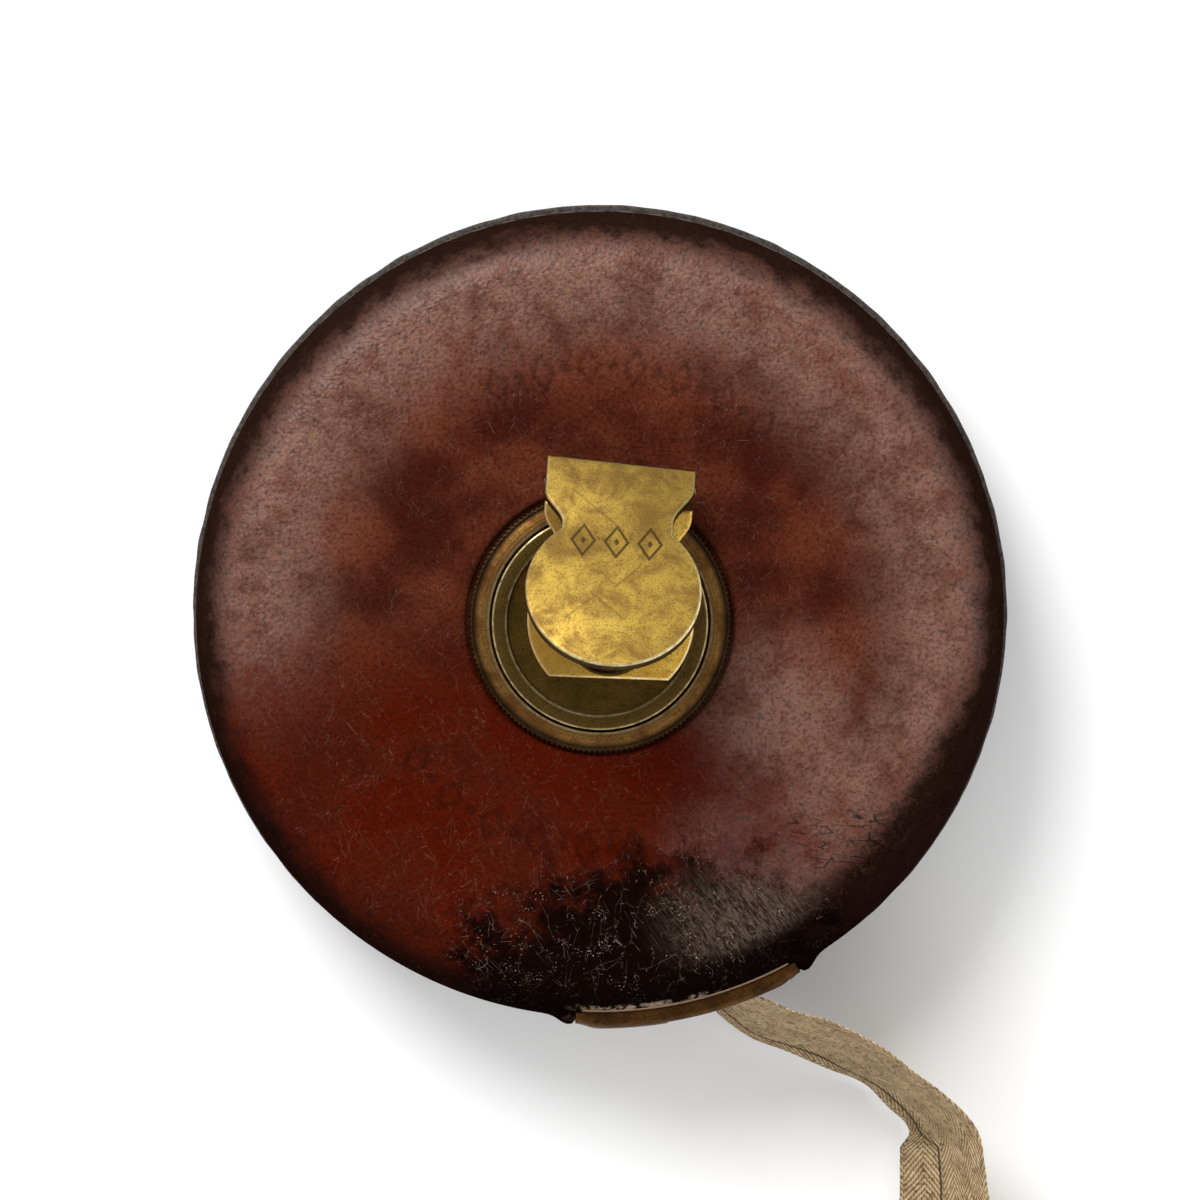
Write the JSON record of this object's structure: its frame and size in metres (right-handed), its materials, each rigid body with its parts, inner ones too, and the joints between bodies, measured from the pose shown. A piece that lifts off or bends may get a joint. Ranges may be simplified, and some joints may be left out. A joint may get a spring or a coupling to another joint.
{
  "type": "surveyor tape reel",
  "caption": "Round leather-cased linen tape measure with a brass hub, a hinged folding winding handle and a rim mouth for the tape.",
  "frame": {"origin": "centre of the back plate's outer face, on the drum's axis, where the case lies on its back", "axes": "+Z along the drum's axis, out of the front face; +X to the right and +Y up seen from the front, with the tape mouth towards -Y"},
  "size_m": [0.0903, 0.1998, 0.0391],
  "materials": {
    "case_leather": "moulded, waxed and worn reddish-brown leather",
    "welt_leather": "raw cut edge, darkened",
    "thread": "waxed linen thread",
    "brass": "aged, darkened brass with worn bright edges",
    "steel": "plain turned steel",
    "wood": "turned hardwood",
    "fibre": "pressed fibre washer",
    "linen": "varnished woven linen"
  },
  "bodies": {
    "root": {"front_cover": "case_leather", "back_cover": "case_leather", "rim_welt": "welt_leather", "front_seam_thread": "thread", "back_seam_thread": "thread", "mouth_plate": "brass", "mouth_rivet_1": "brass", "mouth_rivet_2": "brass", "mouth_rivet_3": "brass", "mouth_rivet_4": "brass", "front_escutcheon": "brass", "front_backing_ring": "brass", "back_escutcheon": "brass", "back_backing_ring": "brass", "tape_lead": "linen", "tape_free_end": "linen", "tape_end_clip": "brass", "tape_end_rivet": "brass"},
    "spool": {"hub_disc": "brass", "spindle": "steel", "drive_dowel": "steel", "hub_screw": "steel", "drum": "wood", "drum_pin": "steel", "tape_anchor_pin": "steel", "front_washer": "fibre", "back_washer": "fibre", "tape_coil": "linen", "handle_base": "brass", "base_rivet_left": "brass", "base_rivet_right": "brass"},
    "handle": {"handle_plate": "brass", "hinge_pin": "steel", "knob_keeper": "brass"},
    "knob": {"winding_knob": "brass"},
    "end_ring": {"tape_end_ring": "brass"}
  },
  "joints": [
    {"name": "spool_spin", "type": "hinge", "parent": "root", "child": "spool", "pos_m": [0, 0, 0.01075], "axis": [0, 0, 1], "continuous": true},
    {"name": "handle_fold", "type": "hinge", "parent": "spool", "child": "handle", "pos_m": [0.00194, 0.01347, 0.0247], "axis": [-0.9976, 0.0698, 0], "range_deg": [-35, 143]},
    {"name": "knob_spin", "type": "hinge", "parent": "handle", "child": "knob", "pos_m": [0.00113, 0.00177, 0.03291], "axis": [0.04, 0.5722, 0.8192], "continuous": true},
    {"name": "end_ring_flip", "type": "hinge", "parent": "root", "child": "end_ring", "pos_m": [0.04, -0.144, 0.002], "axis": [-1, 0, 0], "range_deg": [0, 150]}
  ]
}
